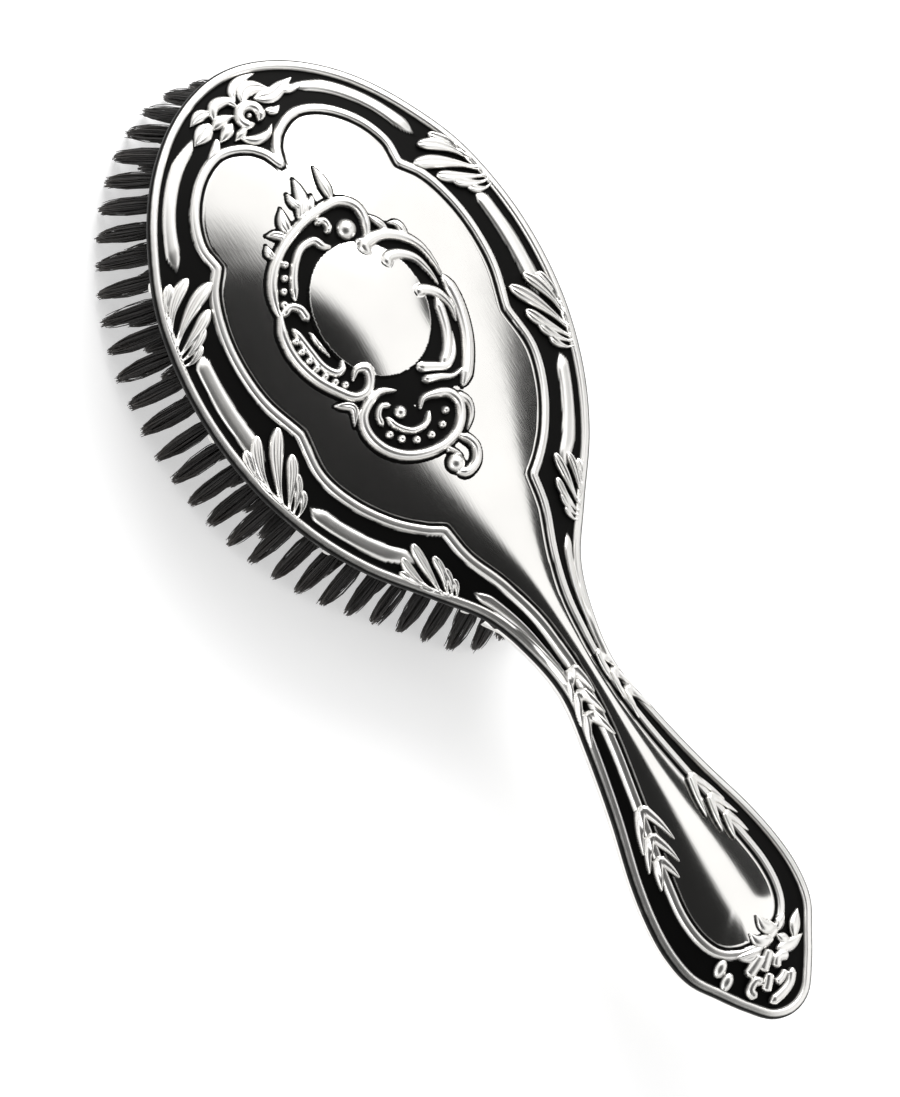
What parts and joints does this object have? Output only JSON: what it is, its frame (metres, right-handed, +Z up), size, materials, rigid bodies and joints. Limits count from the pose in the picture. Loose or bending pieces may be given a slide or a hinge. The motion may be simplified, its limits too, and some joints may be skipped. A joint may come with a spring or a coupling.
{
  "type": "vanity hairbrush",
  "caption": "Silver-backed vanity hairbrush with a domed, ornamented oval head, a waisted handle and a board of drawn bristle tufts.",
  "frame": {"origin": "on the surface the brush stands on, bristles down, under the middle of the whole brush's length and width", "axes": "+X from the head towards the handle's tip, +Z up through the ornamented back, +Y across the brush"},
  "size_m": [0.241, 0.0962, 0.0373],
  "materials": {
    "struck_silver": "polished with dark patina in the recesses",
    "band_silver": "polished",
    "steel": "mill finish",
    "pitch_cement": "matte, glassy where broken",
    "board_wood": "oiled hardwood",
    "veneer_wood": "plain sawn",
    "bristle": "natural boar bristle, glossy",
    "drawing_wire": "bright drawn"
  },
  "bodies": {
    "root": {"back_shell": "struck_silver", "handle_front_shell": "struck_silver", "rim_band": "band_silver", "rim_pins": "band_silver", "cartouche_frame": "struck_silver", "back_cement": "pitch_cement", "handle_cement": "pitch_cement", "neck_tang": "steel", "bristle_board": "board_wood", "backing_veneer": "veneer_wood", "tuft_border": "bristle", "tuft_row_01": "bristle", "tuft_row_02": "bristle", "tuft_row_03": "bristle", "tuft_row_04": "bristle", "tuft_row_05": "bristle", "tuft_row_06": "bristle", "tuft_row_07": "bristle", "tuft_row_08": "bristle", "tuft_row_09": "bristle", "tuft_row_10": "bristle", "tuft_row_11": "bristle", "draw_wire_border": "drawing_wire", "draw_wire_01": "drawing_wire", "draw_wire_02": "drawing_wire", "draw_wire_03": "drawing_wire", "draw_wire_04": "drawing_wire", "draw_wire_05": "drawing_wire", "draw_wire_06": "drawing_wire", "draw_wire_07": "drawing_wire", "draw_wire_08": "drawing_wire", "draw_wire_09": "drawing_wire", "draw_wire_10": "drawing_wire", "draw_wire_11": "drawing_wire"}
  },
  "joints": []
}
